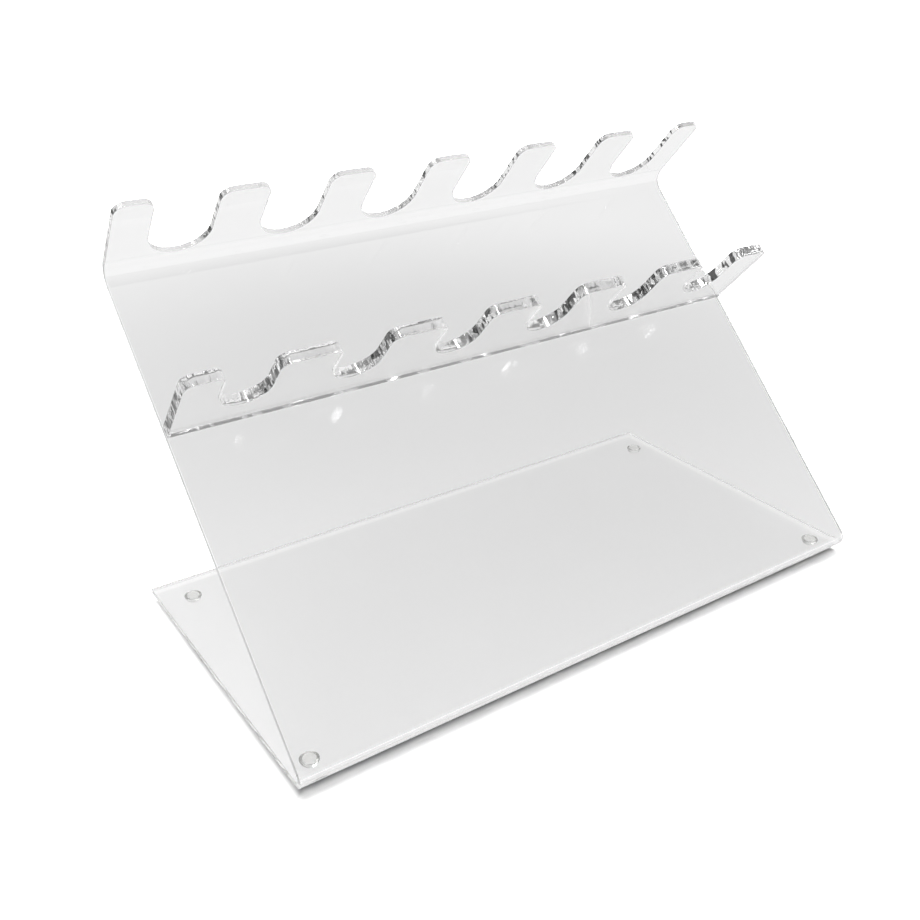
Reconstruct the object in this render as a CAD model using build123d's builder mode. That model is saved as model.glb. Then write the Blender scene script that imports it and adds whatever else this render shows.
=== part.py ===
"""Six-place cradle stand in clear acrylic sheet.

One sheet is heat-bent twice: a flat base, a panel that leans back over it, and a lip that turns
forward at the top. The lip is cut into seven fingers with six open U slots between them. A second,
thicker comb is cemented to the front of the panel, and four domed bumpers are stuck under the base.

Frame: X to the right, Y from front to back, Z up. The origin is on the floor, under the middle of
the stand's box.
"""
import os
from math import cos, radians, sin, tan

from build123d import *

os.makedirs("parts", exist_ok=True)

# Driving dimensions, in millimetres and degrees.
# The bent sheet. Each run is measured along the middle of the sheet, between its sharp corners.
sheet_thickness = 3.0
base_run = 193.7
panel_run = 262.4
lip_run = 53.8
panel_lean = 45.0
lip_turn = 88.4
front_bend_radius = 3.0
upper_bend_radius = 7.6

# The slots of the lip. lip_web is the flat left between the upper bend and a slot's bottom.
slot_count = 6
slot_pitch = 57.15
lip_slot_width = 31.45
lip_end_finger = 19.2
lip_web = 1.85
lip_tip_radius = 6.35

# The cemented comb, a little off the square to the panel, as the lip is. Its slots stand in line
# with the lip's, all shifted a little to the left. strip_web is the height of a slot's bottom.
strip_thickness = 6.0
strip_height = 50.8
strip_seat = 172.3
strip_turn = 88.5
strip_slot_width = 25.5
strip_slot_shift = -2.3
strip_web = 19.1
strip_tip_radius = 5.5

# The solvent weld under the comb: a film, and a bead along each side whose two legs are equal.
# bead_hollow is how near the bead's hollow face comes to the corner, as a share of a leg.
weld_film = 0.15
weld_bead = 0.9
bead_hollow = 0.4
weld_end_gap = 0.6

# The bumper feet. Each is pressed on by hand, so each has its own place: the distance of its
# middle from the side of the base, and from the base's front or back edge.
foot_radius = 4.75
foot_flat_radius = 1.7
foot_crown_radius = 3.8
foot_crown_height = 1.3
foot_height = 3.6
adhesive_radius = 4.5
adhesive_thickness = 0.2
foot_insets = {
    "front_left": (12.1, 17.0),
    "front_right": (11.6, 15.6),
    "rear_left": (17.8, 17.3),
    "rear_right": (13.0, 19.8),
}

# Worked out from the above.
row_length = (slot_count - 1) * slot_pitch
width = row_length + lip_slot_width + 2 * lip_end_finger
half_sheet = sheet_thickness / 2
floor_gap = foot_height + adhesive_thickness
base_height = floor_gap + half_sheet
lip_lean = panel_lean + lip_turn
strip_lean = panel_lean + strip_turn
front_mid_radius = front_bend_radius + half_sheet
upper_mid_radius = upper_bend_radius + half_sheet
lip_slot_depth = lip_run - upper_mid_radius * tan(radians(lip_turn) / 2) - lip_web
strip_slot_depth = strip_height - strip_web

# The foremost point of the front bend and the back edge of the base end the stand's box.
bend_tangent = front_mid_radius / tan(radians(panel_lean) / 2)
front_reach = bend_tangent - front_mid_radius - half_sheet
corner_y = -(front_reach + base_run) / 2


def along(start, angle, distance):
    """Return the (y, z) point at a distance from start, at an angle above the floor."""
    return (
        start[0] + distance * cos(radians(angle)),
        start[1] + distance * sin(radians(angle)),
    )


def face_plane(point, lean):
    """Return the plane of an upright face: local x along X, local y up the face, z to its front."""
    return Plane(
        origin=(-width / 2, point[0], point[1]),
        x_dir=(1, 0, 0),
        z_dir=(0, -sin(radians(lean)), cos(radians(lean))),
    )


def slot_tops(height, shift=0):
    """Return the local points where the slots' middle lines meet the tips of the fingers."""
    first = (width - row_length) / 2 + shift
    return [(first + i * slot_pitch, height) for i in range(slot_count)]


def tip_edges(comb, face, height):
    """Return the short edges across a comb's thickness at the corners of its fingertips."""
    across = comb.edges().filter_by(Axis((0, 0, 0), face.z_dir))
    return across.filter_by(lambda edge: abs(face.to_local_coords(edge.center()).Y - height) < 0.01)


# Corners of the middle line of the sheet, seen from the side.
front_corner = (corner_y, base_height)
base_end = (corner_y + base_run, base_height)
upper_corner = along(front_corner, panel_lean, panel_run)
lip_end = along(upper_corner, lip_lean, lip_run)

lip_middle = face_plane(upper_corner, lip_lean)
panel_front = face_plane(along(front_corner, panel_lean + 90, half_sheet), panel_lean)
strip_corner = along(along(front_corner, panel_lean, strip_seat), panel_lean + 90, half_sheet)
strip_front = face_plane(strip_corner, strip_lean)

# Base, panel and lip: one sheet, bent twice, with the slots cut through the lip.
with BuildPart() as bent_sheet:
    with BuildSketch(Plane.YZ.offset(-width / 2)):
        with BuildLine():
            FilletPolyline(
                base_end,
                front_corner,
                upper_corner,
                lip_end,
                radius=[front_mid_radius, upper_mid_radius],
            )
        trace(line_width=sheet_thickness)
    extrude(amount=width)
    with BuildSketch(lip_middle.offset(-sheet_thickness)):
        with Locations(*slot_tops(lip_run)):
            SlotOverall(2 * lip_slot_depth, lip_slot_width, rotation=90)
    extrude(amount=2 * sheet_thickness, mode=Mode.SUBTRACT)
    fillet(tip_edges(bent_sheet, lip_middle, lip_run), lip_tip_radius)
bent_sheet.part.label = "bent_sheet"

# The comb: its foot is trimmed to the slope of the panel, one weld film clear of it.
with BuildPart() as cradle_strip:
    with BuildSketch(strip_front):
        with Locations((width / 2, strip_height / 2 - strip_thickness / 2)):
            Rectangle(width, strip_height + strip_thickness)
        with Locations(*slot_tops(strip_height, strip_slot_shift)):
            SlotOverall(2 * strip_slot_depth, strip_slot_width, rotation=90, mode=Mode.SUBTRACT)
    extrude(amount=-strip_thickness)
    fillet(tip_edges(cradle_strip, strip_front, strip_height), strip_tip_radius)
    split(bisect_by=panel_front.offset(weld_film), keep=Keep.TOP)
cradle_strip.part.label = "cradle_strip"

# The weld, seen from the side: a film under the foot of the comb, and a hollow bead along the
# front and the back of the comb that climbs the comb and runs out on the panel.
foot_depth = strip_thickness / sin(radians(strip_turn))
film_rise = weld_film / sin(radians(strip_turn))
foot_back = along(strip_corner, panel_lean, foot_depth)
film_front = along(strip_corner, strip_lean, film_rise)
film_back = along(foot_back, strip_lean, film_rise)
front_middle = along(film_front, (panel_lean + 180 + strip_lean) / 2, weld_bead * bead_hollow)
back_middle = along(film_back, (panel_lean + strip_lean) / 2, weld_bead * bead_hollow)
with BuildPart() as weld_seam:
    with BuildSketch(Plane.YZ.offset(-width / 2 + weld_end_gap)):
        with BuildLine():
            on_panel = Line(
                along(strip_corner, panel_lean, -weld_bead),
                along(foot_back, panel_lean, weld_bead),
            )
            on_comb = Polyline(
                along(film_back, strip_lean, weld_bead),
                film_back,
                film_front,
                along(film_front, strip_lean, weld_bead),
            )
            ThreePointArc(on_panel @ 1, back_middle, on_comb @ 0)
            ThreePointArc(on_comb @ 1, front_middle, on_panel @ 0)
        make_face()
    extrude(amount=width - 2 * weld_end_gap)
weld_seam.part.label = "weld_seam"

pieces = [bent_sheet, cradle_strip, weld_seam]

# Feet: a clear dome, flattened where it rests, on a thin adhesive disc.
base_front_edge = corner_y + front_reach
base_back_edge = corner_y + base_run
for place, (side_inset, end_inset) in foot_insets.items():
    x = width / 2 - side_inset
    if "left" in place:
        x = -x
    y = base_front_edge + end_inset
    if "rear" in place:
        y = base_back_edge - end_inset
    with BuildPart() as adhesive:
        with BuildSketch(Plane.XY.offset(foot_height)):
            with Locations((x, y)):
                Circle(adhesive_radius)
        extrude(amount=adhesive_thickness)
    adhesive.part.label = f"foot_adhesive_{place}"
    with BuildPart() as foot:
        with BuildSketch(Plane(origin=(x, y, 0), x_dir=(1, 0, 0), z_dir=(0, -1, 0))):
            with BuildLine():
                crown = (foot_crown_radius, foot_crown_height)
                Polyline((foot_flat_radius, 0), (0, 0), (0, foot_height), (foot_radius, foot_height))
                ThreePointArc((foot_radius, foot_height), crown, (foot_flat_radius, 0))
            make_face()
        revolve(axis=Axis((x, y, 0), (0, 0, 1)))
    foot.part.label = f"foot_{place}"
    pieces += [adhesive, foot]

for piece in pieces:
    export_step(piece.part, f"parts/{piece.part.label}.step")
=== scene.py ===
"""Six-place cradle stand in clear acrylic: how its pieces look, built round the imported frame."""
from math import cos, radians, sin, tan

import bpy
import numpy as np
from bpy.props import FloatProperty, FloatVectorProperty, IntProperty, PointerProperty
from mathutils import Matrix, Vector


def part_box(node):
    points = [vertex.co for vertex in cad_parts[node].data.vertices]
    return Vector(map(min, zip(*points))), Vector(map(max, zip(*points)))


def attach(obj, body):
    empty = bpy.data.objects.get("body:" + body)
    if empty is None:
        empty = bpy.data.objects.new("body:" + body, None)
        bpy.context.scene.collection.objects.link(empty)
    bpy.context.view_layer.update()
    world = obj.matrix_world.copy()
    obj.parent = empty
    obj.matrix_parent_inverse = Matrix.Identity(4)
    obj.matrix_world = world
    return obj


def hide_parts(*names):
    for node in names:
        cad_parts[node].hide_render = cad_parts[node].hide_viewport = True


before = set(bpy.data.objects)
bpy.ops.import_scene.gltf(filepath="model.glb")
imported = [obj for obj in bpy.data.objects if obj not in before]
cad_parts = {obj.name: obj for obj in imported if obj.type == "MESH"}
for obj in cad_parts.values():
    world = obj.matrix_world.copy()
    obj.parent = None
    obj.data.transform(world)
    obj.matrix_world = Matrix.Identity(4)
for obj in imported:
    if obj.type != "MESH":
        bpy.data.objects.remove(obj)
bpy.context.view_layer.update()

bl_info = {
    "name": "Acrylic cradle stand",
    "version": (1, 0, 0),
    "blender": (4, 5, 0),
    "location": "View3D > Sidebar > Cradle stand",
    "description": "Builds the bent sheet, comb, weld and feet of a clear acrylic stand",
    "category": "Object",
}

MM = 0.001
ACRYLIC_IOR = 1.49
POLYURETHANE_IOR = 1.5
ADHESIVE_IOR = 1.47
# Light that enters a cut edge is piped along the sheet, so its paths are long.
LIGHT_PIPE_BOUNCES = 160
# How far cemented and stuck pieces go into each other, so that the joint is as clear as a real one.
HAIR = 0.012 * MM
FEET = ("front_left", "front_right", "rear_left", "rear_right")

# Radii of the outer corners at the foot of each blank.
SHEET_CORNER = 0.8 * MM
STRIP_CORNER = 0.5 * MM
# The part of the comb's foot that is sheared to the panel's slope.
SHEARED_FOOT = 1.5 * MM
# A wall is torn where its outward direction leans left by more than the first of these, and fully
# torn when it leans by both together.
TORN_LEAN, TORN_FADE = 0.55, 0.3
# How short of the comb's ends the weld stops.
WELD_END_GAP = 0.6 * MM

# How finely the round shapes are divided.
EDGE_STEPS = 5
CORNER_STEPS = 6
TIP_STEPS = 20
SLOT_STEPS = 72
BEND_STEPS = 40
WELD_POINTS = 1400
BEAD_POINTS = 7
DOME_POINTS = 28

# The tear marks on the cut edges: their length on the sheet and on the comb, their width as a
# share of it, their slant in radians, how steeply the facets lean, and the colour painted on the
# dark ones as the reflection of an unlit room.
SHEET_MARK, STRIP_MARK = 1.4 * MM, 1.7 * MM
MARK_STRETCH, MARK_SLANT = 0.45, 0.6
FACET_SLOPE = 0.4
PAINTED_DARK_REFLECTION = "#262626"

# The table: its half side, the middle of the shadow painted into its glow behind the stand, its
# glow there and far from there, and the colours of the painted contact shadow and of the bare
# table.
TABLE_REACH = 30.0
DIMMEST = (0.15, 0.30, 0.0)
MIDDLE_GLOW, OUTER_GLOW = 0.68, 0.835
SHADOW, BARE_TABLE = "#343434", "#F6F6F6"

# The softboxes: name, place, sides, power in watts, roll in degrees, and whether they are also
# seen through the acrylic.
SOFTBOXES = (
    ("softbox_front", (-0.73, -0.68, 1.22), (1.1, 0.3), 50.0, 56, False),
    ("softbox_glint", (-0.9, 0.3, 1.5), (0.8, 0.8), 12.0, 0, True),
)
# Directions of the middle of the room's white sweep, and of the broad light overhead.
SWEEP_TOWARDS = (0.153, 0.816, 0.561)
OVERHEAD_TOWARDS = (0.12, 0.16, 0.98)

# The camera: its place, the degrees that it turns right of straight back, looks down and rolls,
# and its lens and sensor in millimetres.
CAMERA_PLACE = (-0.3086, -0.4200, 0.3351)
CAMERA_TURN, CAMERA_DROP, CAMERA_ROLL = 33.45, 26.55, -0.87
CAMERA_LENS, CAMERA_SENSOR = 41.50, 36.0

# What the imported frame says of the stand: its width, its back edge, and its underside.
sheet_low, sheet_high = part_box("bent_sheet")
STAND_WIDTH = sheet_high.x - sheet_low.x
BASE_BACK = sheet_high.y
BASE_UNDER = sheet_low.z


def linear(hex_colour):
    """Linear red, green and blue of an sRGB hex colour."""
    value = np.array([int(hex_colour[i : i + 2], 16) for i in (1, 3, 5)]) / 255
    return tuple(np.where(value <= 0.04045, value / 12.92, ((value + 0.055) / 1.055) ** 2.4))


def length(name, description, millimetres):
    """A size property, kept in metres."""
    return FloatProperty(
        name=name, description=description, default=millimetres * MM, min=0.0,
        unit="LENGTH", subtype="DISTANCE", precision=5,
    )


def angle(name, description, degrees):
    """An angle property, kept in radians."""
    return FloatProperty(
        name=name, description=description, default=radians(degrees),
        subtype="ANGLE", unit="ROTATION",
    )


def colour(name, description, hex_colour):
    """A colour property."""
    return FloatVectorProperty(
        name=name, description=description, default=linear(hex_colour), subtype="COLOR",
        min=0.0, max=1.0,
    )


class SheetSettings(bpy.types.PropertyGroup):
    """Sizes of the twice-bent sheet."""

    thickness: length("Thickness", "Thickness of the sheet", 3.0)
    base_run: length("Base run", "Base along the middle of the sheet, to the sharp corner", 193.7)
    panel_run: length("Panel run", "Panel between its two sharp corners", 262.4)
    lip_run: length("Lip run", "Lip from its sharp corner to the fingertips", 53.8)
    panel_lean: angle("Panel lean", "Panel above the floor", 45.0)
    lip_turn: angle("Lip turn", "Turn of the lip out of the panel", 88.4)
    front_radius: length("Front bend", "Inner radius of the front bend", 3.0)
    upper_radius: length("Upper bend", "Inner radius of the upper bend", 7.6)
    slot_width: length("Slot width", "Width of the lip's slots", 31.45)
    slot_web: length("Slot web", "Flat left between the upper bend and a slot", 1.85)
    tip_radius: length("Tip radius", "Radius of the fingertip corners", 6.35)
    edge_rounding: length("Edge rounding", "Rounding left along the cut edges", 0.28)


class StripSettings(bpy.types.PropertyGroup):
    """Sizes of the cemented comb and its weld."""

    thickness: length("Thickness", "Thickness of the comb", 6.0)
    height: length("Height", "Height of the comb above the panel", 50.8)
    seat: length("Seat", "Panel from its lower sharp corner to the comb's front", 172.3)
    turn: angle("Turn", "Comb against the panel", 88.5)
    slot_width: length("Slot width", "Width of the comb's slots", 25.5)
    slot_web: length("Slot web", "Height of a slot's bottom above the panel", 19.1)
    slot_shift: FloatProperty(
        name="Slot shift", description="Slots against the lip's slots", default=-2.3 * MM,
        unit="LENGTH", subtype="DISTANCE", precision=5,
    )
    tip_radius: length("Tip radius", "Radius of the fingertip corners", 5.5)
    edge_rounding: length("Edge rounding", "Rounding left along the cut edges", 0.3)
    film: length("Weld film", "Thickness of the weld under the comb", 0.15)
    bead: length("Weld bead", "Longest leg of the bead beside the comb", 0.9)


class SlotSettings(bpy.types.PropertyGroup):
    """The row of slots that both combs share."""

    count: IntProperty(name="Count", description="Number of slots", default=6, min=1)
    pitch: length("Pitch", "Distance from slot to slot", 57.15)


class FootSettings(bpy.types.PropertyGroup):
    """Sizes of the bumper feet."""

    height: length("Height", "Height of a foot", 3.6)
    radius: length("Radius", "Radius of a foot's back", 4.75)
    flat_radius: length("Flat", "Radius of the flat that rests on the table", 1.7)
    crown_radius: length("Crown radius", "Radius of the dome at its crown height", 3.8)
    crown_height: length("Crown height", "Height of the crown above the table", 1.3)
    adhesive_radius: length("Adhesive radius", "Radius of the adhesive disc", 4.5)
    adhesive_thickness: length("Adhesive thickness", "Thickness of the adhesive disc", 0.2)


class FinishSettings(bpy.types.PropertyGroup):
    """Colours of the plastics and of the stage."""

    sheet: colour("Sheet", "Tint of light through the sheet", "#FEFEFE")
    strip: colour("Comb", "Tint of light through the comb", "#FEFEFE")
    weld: colour("Weld", "Tint of light through the weld", "#FEFEFE")
    bumper: colour("Bumper", "Tint of light through a foot", "#FCFCFB")
    adhesive: colour("Adhesive", "Tint of light through the adhesive", "#FAFAF9")
    floor: colour("Table", "Table under the stand", "#3A3A3A")


class StandSettings(bpy.types.PropertyGroup):
    """All settings of the stand."""

    sheet: PointerProperty(type=SheetSettings)
    strip: PointerProperty(type=StripSettings)
    slots: PointerProperty(type=SlotSettings)
    foot: PointerProperty(type=FootSettings)
    finish: PointerProperty(type=FinishSettings)


# Shapes.


def heading(turned):
    """Unit (y, z) along a direction at an angle above the floor, and the one a quarter turn on."""
    ahead = np.stack([np.cos(turned), np.sin(turned)], -1)
    aside = np.stack([-np.sin(turned), np.cos(turned)], -1)
    return ahead, aside


def slot_centres(slots, shift=0.0):
    """Middles of the slots, from the right to the left."""
    order = np.arange(slots.count)[::-1] - (slots.count - 1) / 2
    return order * slots.pitch + shift


def arc(centre, radius, start, end, steps, hollow=False):
    """Points round a circle from one angle to another, and their outward directions: a point is
    the centre plus the radius times its ray. On a hollow, outward is towards the centre."""
    turned = np.radians(np.linspace(start, end, steps + 1))
    ray = np.stack([np.cos(turned), np.sin(turned)], 1)
    return np.array(centre) + radius * ray, (-ray if hollow else ray)


def comb_outline(half_width, top, centres, slot_width, bottom, tip, corner, rows):
    """Outline of a comb laid flat, anticlockwise from its lower left corner, and its outward
    directions. It is a chain of arcs that straight edges join. Rows are heights that get a point
    on each side. Returns both arrays and the number of points before the first row."""
    a = slot_width / 2
    lower = [
        arc((-half_width + corner, corner), corner, 180, 270, CORNER_STEPS),
        arc((half_width - corner, corner), corner, 270, 360, CORNER_STEPS),
    ]
    right = (
        np.stack([np.full(len(rows), half_width), rows], 1),
        np.tile([1.0, 0.0], (len(rows), 1)),
    )
    left = (right[0][::-1] * [-1, 1], -right[1])
    upper = [arc((half_width - tip, top - tip), tip, 0, 90, TIP_STEPS)]
    for x in centres:
        upper += [
            arc((x + a + tip, top - tip), tip, 90, 180, TIP_STEPS),
            arc((x, bottom + a), a, 0, -180, SLOT_STEPS, hollow=True),
            arc((x - a - tip, top - tip), tip, 0, 90, TIP_STEPS),
        ]
    upper.append(arc((tip - half_width, top - tip), tip, 90, 180, TIP_STEPS))
    chain = [*lower, right, *upper, left]
    before = sum(len(points) for points, _ in lower)
    outline = np.concatenate([points for points, _ in chain])
    outward = np.concatenate([directions for _, directions in chain])
    return outline, outward, before


def rounded_edge(half, rounding, steps):
    """Profile across the thickness of a cut edge: a quarter circle, a flat, a quarter circle.
    Returns the inset and height of each point, and the outward and upward parts of its
    direction."""
    lower, upper = np.linspace(-90, 0, steps + 1), np.linspace(0, 90, steps + 1)
    turned = np.radians(np.concatenate([lower, upper]))
    middle = np.repeat([rounding - half, half - rounding], steps + 1)
    inset = rounding * (1 - np.cos(turned))
    height = middle + rounding * np.sin(turned)
    return inset, height, np.cos(turned), np.sin(turned)


def slab(
    name, outline, outward, before, rows, half, rounding, scraped_from, torn_from, place
):
    """A flat blank with rounded cut edges, put in place by a function of (u, s, n).

    The edge is the outline carried through the rounded profile: point (i, k) is outline point i
    moved inward by inset k, at height k. The two faces are rungs across the blank between the
    rows, and one polygon at each end. Material 0 is the faces and material 1 the cut edges.
    The edge's UV runs along the cut and across the thickness, and a face's is its place on the
    flat blank, both in metres. The attribute chatter is 1 on the walls beyond torn_from that face
    left, which is the side that the cutter tore at. The attribute scraped is 1 between
    scraped_from and torn_from, on the panel's long sides, which were scraped and not polished."""
    inset, height, out_part, up_part = rounded_edge(half, rounding, EDGE_STEPS)
    count, rings = len(outline), len(inset)
    flat = outline[:, None] - outward[:, None] * inset[None, :, None]
    lean = outward[:, None] * out_part[None, :, None]
    u, s = flat[..., 0].ravel(), flat[..., 1].ravel()
    points, directions = place(
        u, s, np.tile(height, count),
        lean[..., 0].ravel(), lean[..., 1].ravel(), np.tile(up_part, count),
    )

    i, k = np.meshgrid(np.arange(count), np.arange(rings - 1), indexing="ij")
    j = (i + 1) % count
    quads = np.stack(
        [i * rings + k, j * rings + k, j * rings + k + 1, i * rings + k + 1], -1
    ).reshape(-1, 4)
    step = np.linalg.norm(np.roll(outline, -1, 0) - outline, axis=1)
    along = np.concatenate([[0], np.cumsum(step)])
    across = np.concatenate([[0], np.cumsum(np.hypot(np.diff(inset), np.diff(height)))])
    edge_uv = np.stack(
        [
            np.stack([along[i], across[k]], -1),
            np.stack([along[i + 1], across[k]], -1),
            np.stack([along[i + 1], across[k + 1]], -1),
            np.stack([along[i], across[k + 1]], -1),
        ],
        2,
    ).reshape(-1, 2)

    if rows:
        right = before + np.arange(rows)
        left = count - 1 - np.arange(rows)
        rungs = np.stack([left[:-1], right[:-1], right[1:], left[1:]], 1).tolist()
        rungs.append([count - 1, *range(before + 1)])
        rungs.append(list(range(before + rows - 1, count - rows + 1)))
    else:
        rungs = [list(range(count))]
    faces = [[v * rings + rings - 1 for v in rung] for rung in rungs]
    faces += [[v * rings for v in reversed(rung)] for rung in rungs]
    face_uv = np.stack([u, s], 1)[np.concatenate(faces)]

    mesh = bpy.data.meshes.new(name)
    mesh.from_pydata(points.tolist(), [], quads.tolist() + faces)
    material = np.zeros(len(mesh.polygons), np.int32)
    material[: len(quads)] = 1
    mesh.polygons.foreach_set("material_index", material)
    mesh.polygons.foreach_set("use_smooth", np.ones(len(mesh.polygons), bool))
    uv = mesh.uv_layers.new(name="blank")
    uv.data.foreach_set("uv", np.concatenate([edge_uv, face_uv]).astype(np.float32).ravel())
    leans_left = np.clip((-lean[..., 0].ravel() - TORN_LEAN) / TORN_FADE, 0, 1)
    chatter = mesh.attributes.new("chatter", "FLOAT", "POINT")
    chatter.data.foreach_set("value", (leans_left * (s > torn_from)).astype(np.float32))
    scraped = mesh.attributes.new("scraped", "FLOAT", "POINT")
    between = (s > scraped_from) & (s < torn_from)
    scraped.data.foreach_set("value", between.astype(np.float32))
    mesh.validate()
    mesh.normals_split_custom_set_from_vertices(directions.tolist())
    return mesh


def bend_tangents(sheet):
    """How far each bend begins from its sharp corner, along the middle line: for the front bend
    the radius over the tangent of half the lean, and for the upper bend the radius times the
    tangent of half its turn."""
    half = sheet.thickness / 2
    front = (sheet.front_radius + half) / tan(sheet.panel_lean / 2)
    upper = (sheet.upper_radius + half) * tan(sheet.lip_turn / 2)
    return front, upper


def sheet_path(sheet):
    """The middle line of the sheet as runs and bends: the length at which each begins, its (y, z)
    place, its direction and its curvature, from the back edge of the base to the fingertips."""
    half = sheet.thickness / 2
    front, upper = sheet.front_radius + half, sheet.upper_radius + half
    front_tangent, upper_tangent = bend_tangents(sheet)
    turn = radians(180) - sheet.panel_lean
    lengths = [
        sheet.base_run - front_tangent,
        front * turn,
        sheet.panel_run - front_tangent - upper_tangent,
        upper * sheet.lip_turn,
        sheet.lip_run - upper_tangent,
    ]
    curvature = [0, -1 / front, 0, 1 / upper, 0]
    begin, direction, place = [0.0], [radians(180)], [np.array([BASE_BACK, BASE_UNDER + half])]
    for run, bend in zip(lengths, curvature):
        here, turned = place[-1], direction[-1]
        ahead, aside = heading(turned)
        after = turned + bend * run
        if bend:
            here = here + (aside - heading(after)[1]) / bend
        else:
            here = here + run * ahead
        begin.append(begin[-1] + run)
        direction.append(after)
        place.append(here)
    return np.array(begin), np.array(place), np.array(direction), np.array(curvature)


def on_path(path, s):
    """The place on the middle line at length s, with its two headings. On a run the place is the
    beginning plus the length gone. On a bend it is the beginning plus the difference of the two
    sideways headings, divided by the curvature."""
    begin, place, direction, curvature = path
    part = np.clip(np.searchsorted(begin, s, side="right") - 1, 0, len(curvature) - 1)
    gone, bend = s - begin[part], curvature[part]
    turned = direction[part] + bend * gone
    ahead, aside = heading(turned)
    first_ahead, first_aside = heading(direction[part])
    safe = np.where(bend == 0, 1.0, bend)[:, None]
    moved = np.where(
        bend[:, None] == 0, gone[:, None] * first_ahead, (first_aside - aside) / safe
    )
    return place[part] + moved, ahead, aside


def in_space(x, where, ahead, aside, n, part_u, part_s, part_n):
    """Points and directions in space of (x, length, height) beside a line in the (y, z) plane."""
    yz = where + n[:, None] * aside
    turned = part_s[:, None] * ahead + part_n[:, None] * aside
    return np.column_stack([x, yz]), np.column_stack([part_u, turned])


def sheet_mesh(sheet, slots):
    """The twice-bent sheet: a flat blank with a comb at its end, carried along the middle line."""
    path = sheet_path(sheet)
    _, front_bend, panel, upper_bend, lip, tips = path[0]
    rows = np.concatenate(
        [
            np.linspace(front_bend, panel, BEND_STEPS + 1),
            np.linspace(upper_bend, lip, BEND_STEPS + 1),
        ]
    )
    outline, outward, before = comb_outline(
        STAND_WIDTH / 2, tips, slot_centres(slots), sheet.slot_width, lip + sheet.slot_web,
        sheet.tip_radius, SHEET_CORNER, rows,
    )

    def place(u, s, n, part_u, part_s, part_n):
        where, ahead, aside = on_path(path, s)
        return in_space(u, where, ahead, aside, n, part_u, part_s, part_n)

    # The scraped sides begin a little before the panel's first row, so that row is scraped too.
    return slab(
        "bent_sheet_clear", outline, outward, before, len(rows), sheet.thickness / 2,
        sheet.edge_rounding, panel - 0.1 * MM, lip, place,
    )


def strip_seat(sheet, strip):
    """Where the comb's front face meets the panel's front face, in (y, z)."""
    panel_begins = sheet_path(sheet)[1][2]
    ahead, aside = heading(sheet.panel_lean)
    beyond = strip.seat - bend_tangents(sheet)[0]
    return panel_begins + beyond * ahead + sheet.thickness / 2 * aside


def strip_mesh(sheet, strip, slots):
    """The comb: a flat slab that stands off the panel. Its foot is sheared to the panel's slope,
    so each point is raised at least to the weld film above the panel."""
    seat = strip_seat(sheet, strip)
    ahead, aside = heading(sheet.panel_lean + strip.turn)
    outline, outward, before = comb_outline(
        STAND_WIDTH / 2, strip.height, slot_centres(slots, strip.slot_shift), strip.slot_width,
        strip.slot_web, strip.tip_radius, STRIP_CORNER, np.array([]),
    )
    half = strip.thickness / 2

    def place(u, s, n, part_u, part_s, part_n):
        depth = n - half
        foot = (strip.film + depth * -cos(strip.turn)) / sin(strip.turn)
        where = seat + np.where(s < SHEARED_FOOT, s + foot, s)[:, None] * ahead
        return in_space(u, where, ahead, aside, depth, part_u, part_s, part_n)

    return slab(
        "cradle_strip_clear", outline, outward, before, 0, half, strip.edge_rounding,
        0.0, 0.0, place,
    )


def grid_mesh(name, points, around=False, caps=False):
    """A mesh from a grid of points, rows by columns. Around closes the columns into a ring, and
    caps closes the first and last rows."""
    rows, columns = points.shape[:2]
    i, k = np.meshgrid(np.arange(rows - 1), np.arange(columns - (not around)), indexing="ij")
    after = (k + 1) % columns
    quads = np.stack(
        [i * columns + k, i * columns + after, (i + 1) * columns + after, (i + 1) * columns + k],
        -1,
    )
    faces = quads.reshape(-1, 4).tolist()
    if caps:
        faces += [list(range(columns))[::-1], list(range((rows - 1) * columns, rows * columns))]
    mesh = bpy.data.meshes.new(name)
    mesh.from_pydata(points.reshape(-1, 3).tolist(), [], faces)
    mesh.polygons.foreach_set("use_smooth", np.ones(len(mesh.polygons), bool))
    return mesh


def wander(at, seed, wavelength, octaves=3):
    """A smooth random line between 0 and 1: sines of falling wavelength and height, with phases
    drawn from a seed."""
    draw = np.random.default_rng(seed)
    total, most = np.zeros_like(at), 0.0
    for octave in range(octaves):
        for _ in range(3):
            size = 0.6**octave
            waves = at / wavelength * 2**octave * draw.uniform(0.7, 1.4)
            total += size * np.sin(2 * np.pi * (waves + draw.uniform()))
            most += size
    return np.clip(0.5 + 0.9 * total / most, 0, 1)


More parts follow.
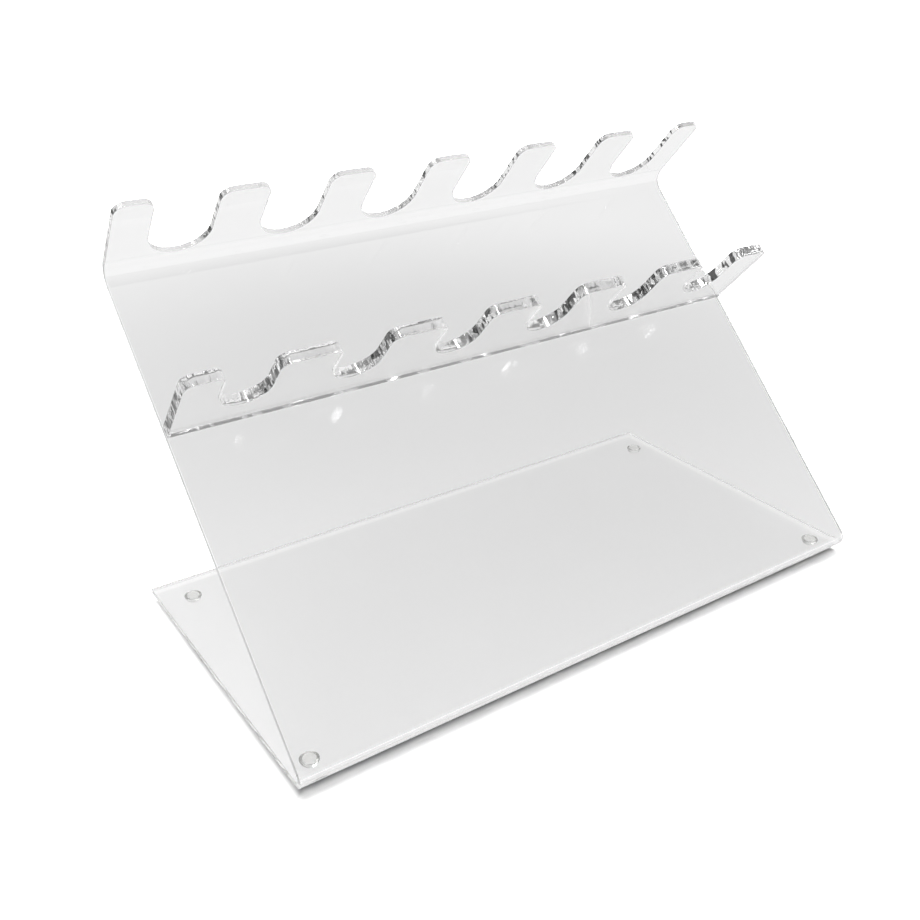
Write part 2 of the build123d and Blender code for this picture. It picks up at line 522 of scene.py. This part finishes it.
def weld_mesh(sheet, strip):
    """The weld: a film under the comb with a hollow bead on each side, carried along the comb.
    The legs of the beads wander, because the solvent drew in unevenly. Where it starved, the film
    draws back from the front of the comb and leaves a dry, silvery gap. Elsewhere the film goes
    a hair into both parts, as a weld does, so the joint is clear."""
    seat = strip_seat(sheet, strip)
    on_panel = heading(sheet.panel_lean)[0]
    on_strip = heading(sheet.panel_lean + strip.turn)[0]
    end = STAND_WIDTH / 2 - WELD_END_GAP
    x = np.linspace(-end, end, WELD_POINTS)
    # 1 where the solvent wetted the joint and 0 where it starved, with short steps between.
    wet = np.clip((wander(x, 5, 30 * MM) - 0.57) * 9, 0, 1)
    # The legs of both beads, as shares of the longest, and how far the film draws back.
    front = strip.bead * (0.1 + 0.4 * wander(x, 3, 9 * MM)) * (0.15 + 0.85 * wet)
    back = strip.bead * (0.35 + 0.3 * wander(x, 8, 25 * MM))
    drawn = (0.05 + 5.2 * (1 - wet) * (0.75 + 0.25 * wander(x, 13, 15 * MM))) * MM
    depth = strip.thickness / sin(strip.turn)
    film = strip.film / sin(strip.turn)
    t = np.linspace(0, 1, BEAD_POINTS)[None, :]
    # A bead's hollow face: a parabola from its toe on the panel to its top on the comb.
    toe, mid, top = (1 - t) ** 2, 2 * t * (1 - t), t**2
    near, far = front[:, None], back[:, None]
    front_a = -near * (toe + 0.25 * mid) + HAIR * top
    front_b = -HAIR * toe + near * 0.25 * mid + (film + near) * top
    back_a = depth + far * (toe + 0.25 * mid) - HAIR * top
    back_b = -HAIR * toe + far * 0.25 * mid + (film + far) * top
    one = np.ones((len(x), 1))
    start = drawn[:, None]
    # Under the comb: from the front bead back to where the film begins, along the film, and out.
    lip_a, run_a, end_a = HAIR * one, start + 0.1 * MM, (depth - HAIR) * one
    under_a = np.concatenate([lip_a, lip_a, start, run_a, end_a], 1)
    over_film, thin = (film + HAIR) * one, 0.35 * film * one
    under_b = np.concatenate([over_film, thin, thin, over_film, over_film], 1)
    # Back along the panel, in the same steps.
    in_panel, low = -HAIR * one, 0.2 * film * one
    floor_a = np.concatenate([end_a, run_a, start, lip_a], 1)
    floor_b = np.concatenate([in_panel, in_panel, low, low], 1)
    a = np.concatenate([front_a, under_a, back_a[:, ::-1], floor_a], 1)
    b = np.concatenate([front_b, under_b, back_b[:, ::-1], floor_b], 1)
    yz = seat + a[..., None] * on_panel + b[..., None] * on_strip
    points = np.concatenate([np.broadcast_to(x[:, None, None], yz.shape[:2] + (1,)), yz], -1)
    return grid_mesh("weld_seam_clear", points, around=True, caps=True)


def turned_mesh(name, centre, radius, height, steps=64):
    """A profile of radii and heights turned round an upright axis through the centre."""
    turned = np.linspace(0, 2 * np.pi, steps, endpoint=False)
    x = centre[0] + radius[:, None] * np.cos(turned)
    y = centre[1] + radius[:, None] * np.sin(turned)
    z = np.broadcast_to(height[:, None], x.shape)
    return grid_mesh(name, np.stack([x, y, z], -1), around=True, caps=True)


def dome_profile(foot):
    """Radii and heights of a bumper, from its flat to its back: rings on the flat, the arc through
    the flat's edge, the crown point and the back's edge, then a small rounding at the back. The
    arc's centre is as far from each of the three points, which gives two linear equations."""
    p = np.array(
        [
            [foot.flat_radius, 0.0],
            [foot.crown_radius, foot.crown_height],
            [foot.radius, foot.height],
        ]
    )
    centre = np.linalg.solve(2 * (p[1:] - p[0]), (p[1:] ** 2).sum(1) - (p[0] ** 2).sum())
    radius = np.hypot(*(p[0] - centre))
    start, end = (np.arctan2(*(q - centre)[::-1]) for q in (p[0], p[2]))
    turned = np.linspace(start, end, DOME_POINTS)
    dome_radius = centre[0] + radius * np.cos(turned)
    dome_height = centre[1] + radius * np.sin(turned)
    flat_radius = np.linspace(0.15, 0.98, 5) * foot.flat_radius
    back_radius = np.array(
        [foot.radius - 0.05 * MM, foot.radius - 0.25 * MM, 0.7 * foot.radius, 0.2 * foot.radius]
    )
    back_height = foot.height - np.array([0.02, 0.0, 0.0, 0.0]) * MM
    r = np.concatenate([flat_radius, dome_radius[:-1], back_radius])
    z = np.concatenate([0 * flat_radius, dome_height[:-1], back_height])
    return r, np.maximum(z, 0)


def disc_profile(foot):
    """Radii and heights of an adhesive disc: a flat cylinder with softened edges, which goes a hair
    into the foot below it and the base above it."""
    radius = np.array([0.2, 0.6, 0.97, 1.0, 1.0, 0.97, 0.6, 0.2]) * foot.adhesive_radius
    t = foot.adhesive_thickness
    height = foot.height + np.array([-HAIR] * 3 + [0.3 * t, 0.7 * t] + [t + HAIR] * 3)
    return radius, height


# Finishes.


def add(tree, kind, inputs=None, **settings):
    """Add one shader node. Settings are its own options, and inputs gives each socket, by name or
    number, a value or another node's output."""
    node = tree.nodes.new(kind)
    for name, value in settings.items():
        setattr(node, name, value)
    for socket, value in (inputs or {}).items():
        if isinstance(socket, str):
            target = next(each for each in node.inputs if each.name == socket and each.enabled)
        else:
            target = node.inputs[socket]
        if isinstance(value, bpy.types.NodeSocket):
            tree.links.new(value, target)
        else:
            target.default_value = value
    return node


def new_material(name):
    """An empty node material, with its output node."""
    material = bpy.data.materials.new(name)
    material.use_nodes = True
    tree = material.node_tree
    tree.nodes.clear()
    return material, tree, add(tree, "ShaderNodeOutputMaterial")


def cast_acrylic_face(name, tint):
    """Cast acrylic, the polished face of the sheet as it left the glass mould. To the eye it is
    clear with hardly any tint, and its mirror images are a little unsteady."""
    material, tree, out = new_material(name)
    place = add(tree, "ShaderNodeTexCoord").outputs["Object"]
    # Casting leaves slow waves about 70 mm long.
    waves = add(
        tree, "ShaderNodeTexNoise", {"Vector": place, "Scale": 1 / (70 * MM), "Detail": 1.0}
    )
    bump = add(
        tree, "ShaderNodeBump",
        {"Height": waves.outputs["Fac"], "Strength": 0.12, "Distance": 2 * MM},
    )
    shader = add(
        tree, "ShaderNodeBsdfPrincipled",
        {
            "Base Color": (*tint, 1), "IOR": ACRYLIC_IOR, "Roughness": 0.0,
            "Transmission Weight": 1.0, "Normal": bump.outputs["Normal"],
        },
    )
    tree.links.new(shader.outputs[0], out.inputs["Surface"])
    return material


def cut_acrylic_edge(name, tint, mark_length, unpainted_share):
    """The routed and lightly flamed edge of acrylic, smooth and glassy where the cutter ran clean,
    and dull along the scraped long sides. Where it tore, on the walls that face left, it left
    facets, each tilted its own way, so the wall breaks light and dark into sharp slivers. All but
    the given share of the facets get a painted dark reflection in their colour, the look of
    facets that show an unlit side of the room."""
    material, tree, out = new_material(name)
    uv = add(tree, "ShaderNodeUVMap", uv_map="blank").outputs["UV"]
    torn = add(tree, "ShaderNodeAttribute", attribute_name="chatter").outputs["Fac"]
    drawn_out = add(
        tree, "ShaderNodeMapping",
        {
            "Vector": uv, "Scale": (1 / mark_length, MARK_STRETCH / mark_length, 1.0),
            "Rotation": (0, 0, MARK_SLANT),
        },
    ).outputs["Vector"]
    cells = add(
        tree, "ShaderNodeTexVoronoi", {"Vector": drawn_out, "Scale": 1.0}, voronoi_dimensions="2D"
    ).outputs["Color"]
    # A facet's normal is the wall's own normal leant by the cell's random colour.
    tilt = add(tree, "ShaderNodeVectorMath", {0: cells, 1: (0.5, 0.5, 0.5)}, operation="SUBTRACT")
    steep = add(tree, "ShaderNodeMapRange", {"Value": torn, "To Max": FACET_SLOPE})
    lean = add(
        tree, "ShaderNodeVectorMath", {0: tilt.outputs[0], "Scale": steep.outputs[0]},
        operation="SCALE",
    )
    wall = add(tree, "ShaderNodeNewGeometry").outputs["Normal"]
    leant = add(tree, "ShaderNodeVectorMath", {0: wall, 1: lean.outputs[0]}, operation="ADD")
    normal = add(tree, "ShaderNodeVectorMath", {0: leant.outputs[0]}, operation="NORMALIZE")
    # Painted reflection: on torn walls, the facets past the given share get a dark colour in place
    # of the unlit side of the room that they would mirror.
    chance = add(tree, "ShaderNodeSeparateColor", {0: cells}).outputs["Blue"]
    dark = add(
        tree, "ShaderNodeMapRange",
        {"Value": chance, "From Min": unpainted_share, "From Max": unpainted_share + 0.02},
    )
    share = add(tree, "ShaderNodeMath", {0: dark.outputs[0], 1: torn}, operation="MULTIPLY")
    painted_shade = add(
        tree, "ShaderNodeMix",
        {"Factor": share.outputs[0], "A": (*tint, 1), "B": (*linear(PAINTED_DARK_REFLECTION), 1)},
        data_type="RGBA",
    )
    scraped = add(tree, "ShaderNodeAttribute", attribute_name="scraped").outputs["Fac"]
    dullness = add(tree, "ShaderNodeMapRange", {"Value": scraped, "To Min": 0.0, "To Max": 0.3})
    shader = add(
        tree, "ShaderNodeBsdfPrincipled",
        {
            "Base Color": painted_shade.outputs[2], "IOR": ACRYLIC_IOR, "Roughness": dullness.outputs[0],
            "Transmission Weight": 1.0, "Normal": normal.outputs[0],
        },
    )
    tree.links.new(shader.outputs[0], out.inputs["Surface"])
    return material


def soft_clear(name, tint, ior, roughness, grain, depth):
    """A clear plastic that set or was pressed by hand, so its surface is finely uneven and its
    highlights and the things seen through it wobble. Grain is the size of the unevenness."""
    material, tree, out = new_material(name)
    place = add(tree, "ShaderNodeTexCoord").outputs["Object"]
    noise = add(
        tree, "ShaderNodeTexNoise", {"Vector": place, "Scale": 1 / grain, "Detail": 2.0}
    )
    bump = add(
        tree, "ShaderNodeBump",
        {"Height": noise.outputs["Fac"], "Strength": 0.5, "Distance": depth},
    )
    shader = add(
        tree, "ShaderNodeBsdfPrincipled",
        {
            "Base Color": (*tint, 1), "IOR": ior, "Roughness": roughness,
            "Transmission Weight": 1.0, "Normal": bump.outputs["Normal"],
        },
    )
    tree.links.new(shader.outputs[0], out.inputs["Surface"])
    return material


def outside_outline(tree, place, half_width, half_depth):
    """The distance outside a rectangle round the origin, negative inside it: the larger of the
    distances beyond its sides and beyond its ends."""
    folded = add(tree, "ShaderNodeVectorMath", {0: place}, operation="ABSOLUTE")
    beyond = add(
        tree, "ShaderNodeVectorMath", {0: folded.outputs[0], 1: (half_width, half_depth, 0.0)},
        operation="SUBTRACT",
    )
    sides = add(tree, "ShaderNodeSeparateXYZ", {0: beyond.outputs[0]})
    return add(
        tree, "ShaderNodeMath", {0: sides.outputs["X"], 1: sides.outputs["Y"]},
        operation="MAXIMUM",
    ).outputs[0]


def table_top(name, tint, middle_glow, outer_glow):
    """A translucent white acrylic table lit from below. Through the stand it is a soft glow, with a
    shadow painted into it just behind the stand and a bright line painted beside the base's edges.
    Seen straight on it is a bright matt white that the lights burn out, with a contact shadow
    painted under the stand's base."""
    material, tree, out = new_material(name)
    white = (*linear("#FFFFFF"), 1)
    place = add(tree, "ShaderNodeTexCoord").outputs["Object"]
    # Painted shadow: the glow is dimmer round a point just behind the stand, in place of the
    # stand's soft shadow.
    away = add(tree, "ShaderNodeVectorMath", {0: place, 1: DIMMEST}, operation="DISTANCE")
    glow = add(
        tree, "ShaderNodeMapRange",
        {
            "Value": away.outputs["Value"], "From Min": 0.12, "From Max": 0.56,
            "To Min": middle_glow, "To Max": outer_glow,
        },
        interpolation_type="SMOOTHSTEP",
    )
    # A soft bright line is painted into the glow 3 mm outside the base's outline, where the base's
    # cut edges would throw one.
    from_edge = outside_outline(tree, place, STAND_WIDTH / 2, BASE_BACK)
    beside = add(tree, "ShaderNodeMath", {0: from_edge, 1: 3.0 * MM}, operation="SUBTRACT")
    off_line = add(tree, "ShaderNodeMath", {0: beside.outputs[0]}, operation="ABSOLUTE")
    line = add(
        tree, "ShaderNodeMapRange",
        {
            "Value": off_line.outputs[0], "From Min": 0.8 * MM, "From Max": 3.2 * MM,
            "To Min": 0.12, "To Max": 0.0,
        },
        interpolation_type="SMOOTHSTEP",
    )
    glow = add(tree, "ShaderNodeMath", {0: glow.outputs[0], 1: line.outputs[0]}, operation="ADD")
    lit_from_below = add(
        tree, "ShaderNodeBsdfPrincipled",
        {
            "Base Color": (*tint, 1), "Roughness": 0.7, "Specular IOR Level": 0.2,
            "Emission Color": white, "Emission Strength": glow.outputs[0],
        },
    )
    # A contact shadow is painted on the table under the base, whose ends bend or stand a little
    # clear of the table.
    from_shadow = outside_outline(tree, place, STAND_WIDTH / 2, BASE_BACK - 3.5 * MM)
    outside_painted_shadow = add(
        tree, "ShaderNodeMapRange",
        {"Value": from_shadow, "From Min": -3.8 * MM, "From Max": 1.8 * MM},
        interpolation_type="SMOOTHSTEP",
    )
    painted_shade = add(
        tree, "ShaderNodeMix",
        {
            "Factor": outside_painted_shadow.outputs[0],
            "A": (*linear(SHADOW), 1), "B": (*linear(BARE_TABLE), 1),
        },
        data_type="RGBA",
    )
    # Far from the stand the table shines by itself, as white as the backdrop it runs into.
    far = add(tree, "ShaderNodeVectorMath", {0: place}, operation="LENGTH")
    sweep = add(
        tree, "ShaderNodeMapRange",
        {
            "Value": far.outputs["Value"], "From Min": 0.3, "From Max": 1.4,
            "To Min": 0.1, "To Max": 1.0,
        },
        interpolation_type="SMOOTHSTEP",
    )
    matt = add(
        tree, "ShaderNodeBsdfPrincipled",
        {
            "Base Color": painted_shade.outputs[2], "Roughness": 0.8, "Specular IOR Level": 0.1,
            "Emission Color": white, "Emission Strength": sweep.outputs[0],
        },
    )
    direct = add(tree, "ShaderNodeLightPath").outputs["Is Camera Ray"]
    both = add(
        tree, "ShaderNodeMixShader",
        {0: direct, 1: lit_from_below.outputs[0], 2: matt.outputs[0]},
    )
    tree.links.new(both.outputs[0], out.inputs["Surface"])
    return material


def show(mesh, materials, slot, *nodes):
    """Put a finished mesh in the scene in place of CAD nodes, riding on the one body."""
    for material in materials:
        mesh.materials.append(material)
    piece = bpy.data.objects.new(mesh.name, mesh)
    bpy.context.scene.collection.objects.link(piece)
    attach(piece, "root")
    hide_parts(*nodes)


class STAND_OT_bent_sheet(bpy.types.Operator):
    """Build the twice-bent sheet"""

    bl_idname = "stand.bent_sheet"
    bl_label = "Bent sheet"

    def execute(self, context):
        stand = context.scene.cradle_stand
        tint = stand.finish.sheet
        face = cast_acrylic_face("cast_acrylic_polished_face", tint)
        # The thin edge lets more light through, so only a quarter of its facets get the painted
        # dark reflection.
        edge = cut_acrylic_edge("cast_acrylic_cut_edge", tint, SHEET_MARK, 0.75)
        show(sheet_mesh(stand.sheet, stand.slots), [face, edge], "acrylic_sheet", "bent_sheet")
        return {"FINISHED"}


class STAND_OT_cradle_strip(bpy.types.Operator):
    """Build the cemented comb"""

    bl_idname = "stand.cradle_strip"
    bl_label = "Cemented comb"

    def execute(self, context):
        stand = context.scene.cradle_stand
        tint = stand.finish.strip
        # Thicker stock of the same cast acrylic, just as clear to the eye across its faces.
        face = cast_acrylic_face("thick_acrylic_polished_face", tint)
        # Through the thick edge the eye sees further round the room, so nearly half of its facets
        # get the painted dark reflection.
        edge = cut_acrylic_edge("thick_acrylic_cut_edge", tint, STRIP_MARK, 0.55)
        comb = strip_mesh(stand.sheet, stand.strip, stand.slots)
        show(comb, [face, edge], "acrylic_strip", "cradle_strip")
        return {"FINISHED"}


class STAND_OT_weld_seam(bpy.types.Operator):
    """Build the solvent weld under the comb"""

    bl_idname = "stand.weld_seam"
    bl_label = "Weld"

    def execute(self, context):
        stand = context.scene.cradle_stand
        # Acrylic that the solvent softened and that set again: as clear as the sheet, with a faint
        # ripple that makes the joint glint.
        weld = soft_clear(
            "acrylic_solvent_weld", stand.finish.weld, ACRYLIC_IOR, 0.02, 0.9 * MM, 0.1 * MM
        )
        show(weld_mesh(stand.sheet, stand.strip), [weld], "solvent_weld", "weld_seam")
        return {"FINISHED"}


class STAND_OT_bumper_feet(bpy.types.Operator):
    """Build the four bumpers and their adhesive discs"""

    bl_idname = "stand.bumper_feet"
    bl_label = "Feet"

    def execute(self, context):
        stand = context.scene.cradle_stand
        # Polyurethane cast into a dome: water clear and soft, a small lens with a grey rim.
        bumper = soft_clear(
            "cast_polyurethane_bumper", stand.finish.bumper, POLYURETHANE_IOR, 0.03,
            1.5 * MM, 0.1 * MM,
        )
        # Adhesive film pressed on by hand: clear where it wets, and faintly cloudy and rippled.
        adhesive = soft_clear(
            "acrylic_adhesive_film", stand.finish.adhesive, ADHESIVE_IOR, 0.1,
            1.2 * MM, 0.3 * MM,
        )
        dome, disc = dome_profile(stand.foot), disc_profile(stand.foot)
        for place in FEET:
            low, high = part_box(f"foot_{place}")
            centre = (low + high) / 2
            foot = turned_mesh(f"foot_{place}_dome", centre, *dome)
            show(foot, [bumper], "bumper", f"foot_{place}")
            film = turned_mesh(f"foot_adhesive_{place}_disc", centre, *disc)
            show(film, [adhesive], "foot_adhesive", f"foot_adhesive_{place}")
        return {"FINISHED"}


class STAND_OT_stage(bpy.types.Operator):
    """Build the table, the lights and the camera"""

    bl_idname = "stand.stage"
    bl_label = "Stage"

    def execute(self, context):
        scene = context.scene
        tint = scene.cradle_stand.finish.floor
        side = np.linspace(-TABLE_REACH, TABLE_REACH, 13)
        x, y = np.meshgrid(side, side, indexing="xy")
        floor = bpy.data.objects.new("table", grid_mesh("table", np.stack([x, y, 0 * x], -1)))
        floor.data.materials.append(table_top("matt_white_table", tint, MIDDLE_GLOW, OUTER_GLOW))
        scene.collection.objects.link(floor)
        light_world(scene)
        for name, place, sides, power, roll, through in SOFTBOXES:
            lamp = bpy.data.lights.new(name, "AREA")
            lamp.shape, lamp.energy = "RECTANGLE", power
            lamp.size, lamp.size_y = sides
            softbox = bpy.data.objects.new(name, lamp)
            softbox.matrix_world = aimed(place, -np.array(place), radians(roll))
            # The softboxes are only there to be seen in the acrylic. The room lights the table.
            softbox.visible_diffuse = False
            softbox.visible_transmission = through
            scene.collection.objects.link(softbox)
        camera = bpy.data.objects.new("camera", bpy.data.cameras.new("camera"))
        camera.data.lens, camera.data.sensor_width = CAMERA_LENS, CAMERA_SENSOR
        camera.data.clip_start, camera.data.clip_end = 0.01, 200.0
        around, above = radians(CAMERA_TURN), radians(CAMERA_DROP)
        sight = (sin(around) * cos(above), cos(around) * cos(above), -sin(above))
        camera.matrix_world = aimed(CAMERA_PLACE, sight, radians(CAMERA_ROLL))
        scene.collection.objects.link(camera)
        scene.camera = camera
        scene.view_settings.view_transform = "Standard"
        scene.cycles.max_bounces = LIGHT_PIPE_BOUNCES
        scene.cycles.transmission_bounces = LIGHT_PIPE_BOUNCES
        scene.cycles.glossy_bounces = LIGHT_PIPE_BOUNCES
        scene.cycles.caustics_refractive = True
        scene.cycles.caustics_reflective = False
        return {"FINISHED"}


def aimed(place, sight, roll):
    """The matrix that puts a camera or lamp at a place, looking along a line of sight, and rolls
    it about that line."""
    sight = np.array(sight, float) / np.linalg.norm(sight)
    right = np.cross(sight, [0, 0, 1.0])
    right /= np.linalg.norm(right)
    up = np.cross(right, sight)
    rolled_right = cos(roll) * right + sin(roll) * up
    rolled_up = -sin(roll) * right + cos(roll) * up
    matrix = np.eye(4)
    matrix[:3, :4] = np.column_stack([rolled_right, rolled_up, -sight, place])
    return Matrix(matrix.tolist())


def light_world(scene):
    """A room with a white sweep behind the stand and dark grey in front of it, as the acrylic
    mirrors and shows it. Matt surfaces are lit by a broad softbox overhead instead, and the camera
    itself sees white all round. The world isn't sampled as a lamp, because the acrylic would block
    those samples and darken the table under it."""
    world = bpy.data.worlds.new("studio")
    scene.world = world
    world.use_nodes = True
    world.cycles.sampling_method = "NONE"
    tree = world.node_tree
    tree.nodes.clear()
    direction = add(tree, "ShaderNodeTexCoord").outputs["Generated"]
    # How near a direction is to the middle of the sweep, and the grey to white that it gives.
    towards_sweep = add(
        tree, "ShaderNodeVectorMath", {0: direction, 1: SWEEP_TOWARDS}, operation="DOT_PRODUCT"
    )
    sweep = add(
        tree, "ShaderNodeMapRange",
        {
            "Value": towards_sweep.outputs["Value"], "From Min": 0.2, "From Max": 0.8,
            "To Min": 0.22, "To Max": 0.78,
        },
        interpolation_type="SMOOTHSTEP",
    )
    # The same for the softbox overhead, to the right of the back, whose edge is soft.
    towards_softbox = add(
        tree, "ShaderNodeVectorMath", {0: direction, 1: OVERHEAD_TOWARDS}, operation="DOT_PRODUCT"
    )
    softbox = add(
        tree, "ShaderNodeMapRange",
        {
            "Value": towards_softbox.outputs["Value"], "From Min": 0.86, "From Max": 0.93,
            "To Min": 0.08, "To Max": 9.0,
        },
        interpolation_type="SMOOTHSTEP",
    )
    path = add(tree, "ShaderNodeLightPath")
    gathered = add(
        tree, "ShaderNodeMapRange",
        {
            "Value": path.outputs["Diffuse Depth"],
            "To Min": sweep.outputs[0], "To Max": softbox.outputs[0],
        },
    )
    strength = add(
        tree, "ShaderNodeMapRange",
        {"Value": path.outputs["Is Camera Ray"], "To Min": gathered.outputs[0], "To Max": 1.05},
    )
    background = add(
        tree, "ShaderNodeBackground",
        {"Color": (*linear("#FFFFFF"), 1), "Strength": strength.outputs[0]},
    )
    add(tree, "ShaderNodeOutputWorld", {"Surface": background.outputs[0]})


class STAND_PT_stand(bpy.types.Panel):
    """Sidebar panel with the stand's sizes, colours and steps"""

    bl_label = "Cradle stand"
    bl_idname = "STAND_PT_stand"
    bl_space_type = "VIEW_3D"
    bl_region_type = "UI"
    bl_category = "Cradle stand"

    def draw(self, context):
        stand = context.scene.cradle_stand
        for group in ("sheet", "strip", "slots", "foot", "finish"):
            box = self.layout.box()
            box.label(text=group.capitalize())
            settings = getattr(stand, group)
            for name in type(settings).__annotations__:
                box.prop(settings, name)
        for step in STEPS:
            self.layout.operator(step.bl_idname)


STEPS = (
    STAND_OT_bent_sheet,
    STAND_OT_cradle_strip,
    STAND_OT_weld_seam,
    STAND_OT_bumper_feet,
    STAND_OT_stage,
)
CLASSES = (
    SheetSettings, StripSettings, SlotSettings, FootSettings, FinishSettings, StandSettings,
    *STEPS, STAND_PT_stand,
)


def register():
    """Register the classes and hang the settings on the scene."""
    for each in CLASSES:
        bpy.utils.register_class(each)
    bpy.types.Scene.cradle_stand = PointerProperty(type=StandSettings)


def unregister():
    """Undo register."""
    del bpy.types.Scene.cradle_stand
    for each in reversed(CLASSES):
        bpy.utils.unregister_class(each)


def main():
    """Build the stand and its stage."""
    register()
    for step in STEPS:
        group, name = step.bl_idname.split(".")
        getattr(getattr(bpy.ops, group), name)()


if __name__ == "__main__":
    main()
